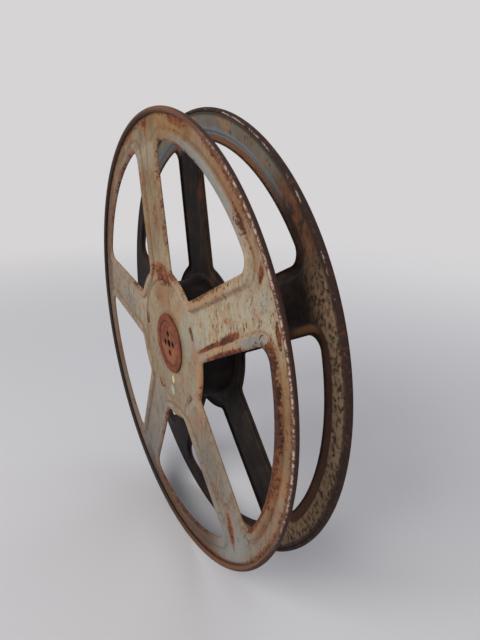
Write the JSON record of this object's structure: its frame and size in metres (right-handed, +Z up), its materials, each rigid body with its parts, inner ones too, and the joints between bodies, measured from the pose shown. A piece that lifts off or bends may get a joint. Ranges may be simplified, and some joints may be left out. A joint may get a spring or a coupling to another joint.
{
  "type": "cine film reel",
  "caption": "Pressed steel reel for 35 mm cine film: two spoked flanges with rolled rims on a core drum, and turned hub plates with a spindle bore and drive holes.",
  "frame": {"origin": "centre of the reel, on the spindle axis, midway between the two flanges", "axes": "+Z up as the reel stands on its rims, the reel's axis along Y with the pictured flange facing -Y, +X to the right seen from that flange"},
  "size_m": [0.3999, 0.0452, 0.4],
  "materials": {
    "worn_paint": "worn pale grey paint with rust at every edge",
    "drum_paint": "dull dark paint, rusted",
    "rusted_hub": "turned steel under an even coat of red-brown rust",
    "plain_steel": "dull bare steel",
    "spring_steel": "blued spring steel"
  },
  "bodies": {
    "reel": {"front_flange": "worn_paint", "rear_flange": "worn_paint", "core_drum": "drum_paint", "front_hub_plate": "rusted_hub", "rear_hub_plate": "rusted_hub", "front_backing_ring": "plain_steel", "rear_backing_ring": "plain_steel", "spindle_sleeve": "plain_steel", "film_clip_foot": "spring_steel", "film_clip_rivets": "plain_steel"},
    "film_clip": {"film_clip": "spring_steel"}
  },
  "joints": [
    {"name": "film_clip_bend", "type": "hinge", "parent": "reel", "child": "film_clip", "pos_m": [-0.0355, 0, 0.03366], "axis": [0, -1, 0], "range_deg": [0, 22], "stiffness_Nm_per_rad": 0.002, "springref_deg": -17.19}
  ]
}
